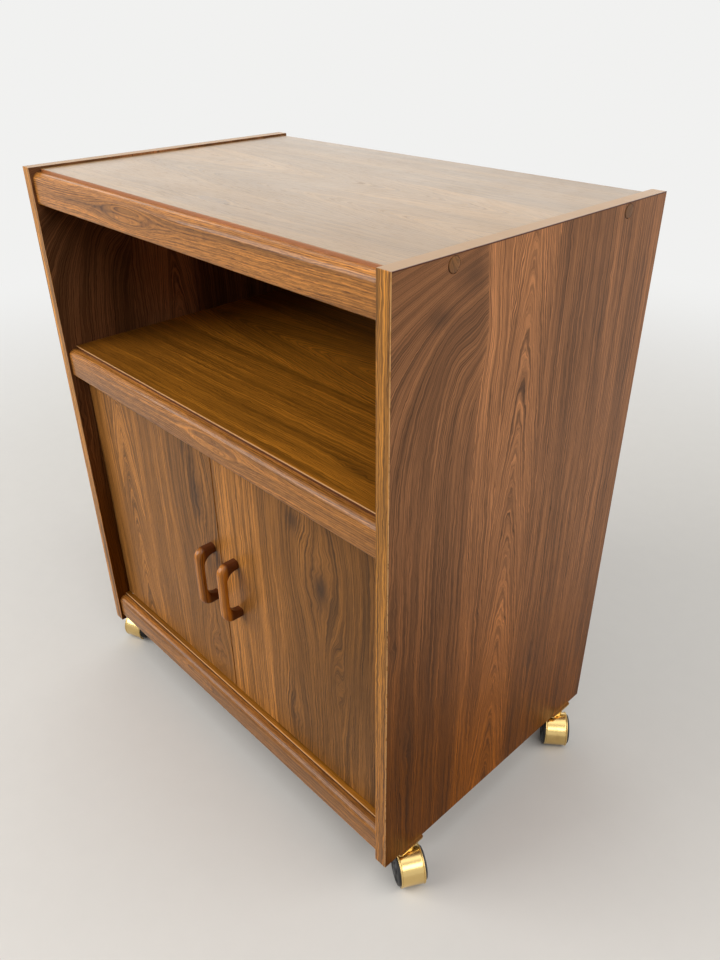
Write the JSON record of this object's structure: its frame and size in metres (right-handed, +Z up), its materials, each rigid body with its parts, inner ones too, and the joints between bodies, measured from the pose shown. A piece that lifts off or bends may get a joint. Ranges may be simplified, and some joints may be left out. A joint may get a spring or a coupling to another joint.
{
  "type": "rolling media cabinet",
  "caption": "Rolling wood-grain media cabinet: open bay over a pair of inset doors with pulls, rounded rails, on hooded brass casters.",
  "frame": {"origin": "on the floor, under the middle of the whole object's box", "axes": "+Z up, the doors face -Y, +X to the right of someone who faces the doors"},
  "size_m": [0.6706, 0.392, 0.734],
  "materials": {
    "laminate_side": "satin wood-grain laminate, red-brown",
    "laminate_top": "satin wood-grain laminate, pale where the light lies on it",
    "laminate_shelf": "satin wood-grain laminate, golden brown",
    "laminate_door": "satin wood-grain laminate with knots, vertical grain",
    "oak_rail": "semi-gloss lacquered oak",
    "oak_band": "satin wood-grain tape",
    "oak_pull": "gloss lacquered oak",
    "hardboard": "dark brown hardboard",
    "beech": "bare beech dowel",
    "steel": "zinc-plated steel",
    "brass": "bright brass plate",
    "nylon": "natural nylon",
    "wheel_black": "black moulded wheel",
    "cap_brown": "brown moulded cap"
  },
  "bodies": {
    "carcass": {"left_side_panel": "laminate_side", "right_side_panel": "laminate_side", "left_edge_band": "oak_band", "right_edge_band": "oak_band", "top_panel": "laminate_top", "middle_shelf": "laminate_shelf", "bottom_panel": "laminate_shelf", "top_rail": "oak_rail", "middle_rail": "oak_rail", "bottom_rail": "oak_rail", "back_panel": "hardboard", "back_nails": "steel", "top_screws": "steel", "screw_caps": "cap_brown", "cam_locks": "steel", "cam_bolts": "steel", "panel_dowels": "beech", "rail_dowels": "beech", "left_pivot_bracket": "steel", "right_pivot_bracket": "steel", "bracket_screws": "steel", "bottom_pivot_pins": "steel", "magnetic_catch": "nylon", "catch_screws": "steel", "caster_screws": "brass", "caster_kingpins": "steel", "front_left_plate": "brass", "front_right_plate": "brass", "rear_left_plate": "brass", "rear_right_plate": "brass"},
    "left_door_leaf": {"left_door": "laminate_door", "left_pull": "oak_pull", "left_pull_screws": "steel", "left_door_bushes": "nylon", "left_strike_plate": "steel"},
    "right_door_leaf": {"right_door": "laminate_door", "right_pull": "oak_pull", "right_pull_screws": "steel", "right_door_bushes": "nylon", "right_strike_plate": "steel"},
    "front_left_swivel": {"front_left_hood": "brass", "front_left_axle": "steel"},
    "front_left_wheel_a_body": {"front_left_wheel_a": "wheel_black"},
    "front_left_wheel_b_body": {"front_left_wheel_b": "wheel_black"},
    "front_right_swivel": {"front_right_hood": "brass", "front_right_axle": "steel"},
    "front_right_wheel_a_body": {"front_right_wheel_a": "wheel_black"},
    "front_right_wheel_b_body": {"front_right_wheel_b": "wheel_black"},
    "rear_left_swivel": {"rear_left_hood": "brass", "rear_left_axle": "steel"},
    "rear_left_wheel_a_body": {"rear_left_wheel_a": "wheel_black"},
    "rear_left_wheel_b_body": {"rear_left_wheel_b": "wheel_black"},
    "rear_right_swivel": {"rear_right_hood": "brass", "rear_right_axle": "steel"},
    "rear_right_wheel_a_body": {"rear_right_wheel_a": "wheel_black"},
    "rear_right_wheel_b_body": {"rear_right_wheel_b": "wheel_black"}
  },
  "joints": [
    {"name": "left_door_hinge", "type": "hinge", "parent": "carcass", "child": "left_door_leaf", "pos_m": [-0.278, -0.164, 0.28475], "axis": [0, 0, -1], "range_deg": [0, 98]},
    {"name": "right_door_hinge", "type": "hinge", "parent": "carcass", "child": "right_door_leaf", "pos_m": [0.278, -0.164, 0.28475], "axis": [0, 0, 1], "range_deg": [0, 98]},
    {"name": "front_left_swivel_turn", "type": "hinge", "parent": "carcass", "child": "front_left_swivel", "pos_m": [-0.2985, -0.1475, 0.0455], "axis": [0, 0, 1], "continuous": true},
    {"name": "front_left_wheel_a_spin", "type": "hinge", "parent": "front_left_swivel", "child": "front_left_wheel_a_body", "pos_m": [-0.29474, -0.15784, 0.02], "axis": [0.9397, 0.342, 0], "continuous": true},
    {"name": "front_left_wheel_b_spin", "type": "hinge", "parent": "front_left_swivel", "child": "front_left_wheel_b_body", "pos_m": [-0.29474, -0.15784, 0.02], "axis": [0.9397, 0.342, 0], "continuous": true},
    {"name": "front_right_swivel_turn", "type": "hinge", "parent": "carcass", "child": "front_right_swivel", "pos_m": [0.2985, -0.1475, 0.0455], "axis": [0, 0, 1], "continuous": true},
    {"name": "front_right_wheel_a_spin", "type": "hinge", "parent": "front_right_swivel", "child": "front_right_wheel_a_body", "pos_m": [0.30803, -0.153, 0.02], "axis": [0.5, 0.866, 0], "continuous": true},
    {"name": "front_right_wheel_b_spin", "type": "hinge", "parent": "front_right_swivel", "child": "front_right_wheel_b_body", "pos_m": [0.30803, -0.153, 0.02], "axis": [0.5, 0.866, 0], "continuous": true},
    {"name": "rear_left_swivel_turn", "type": "hinge", "parent": "carcass", "child": "rear_left_swivel", "pos_m": [-0.2985, 0.1535, 0.0455], "axis": [0, 0, 1], "continuous": true},
    {"name": "rear_left_wheel_a_spin", "type": "hinge", "parent": "rear_left_swivel", "child": "rear_left_wheel_a_body", "pos_m": [-0.30803, 0.148, 0.02], "axis": [0.5, -0.866, 0], "continuous": true},
    {"name": "rear_left_wheel_b_spin", "type": "hinge", "parent": "rear_left_swivel", "child": "rear_left_wheel_b_body", "pos_m": [-0.30803, 0.148, 0.02], "axis": [0.5, -0.866, 0], "continuous": true},
    {"name": "rear_right_swivel_turn", "type": "hinge", "parent": "carcass", "child": "rear_right_swivel", "pos_m": [0.2985, 0.1535, 0.0455], "axis": [0, 0, 1], "continuous": true},
    {"name": "rear_right_wheel_a_spin", "type": "hinge", "parent": "rear_right_swivel", "child": "rear_right_wheel_a_body", "pos_m": [0.30557, 0.14507, 0.02], "axis": [0.766, 0.6428, 0], "continuous": true},
    {"name": "rear_right_wheel_b_spin", "type": "hinge", "parent": "rear_right_swivel", "child": "rear_right_wheel_b_body", "pos_m": [0.30557, 0.14507, 0.02], "axis": [0.766, 0.6428, 0], "continuous": true}
  ]
}
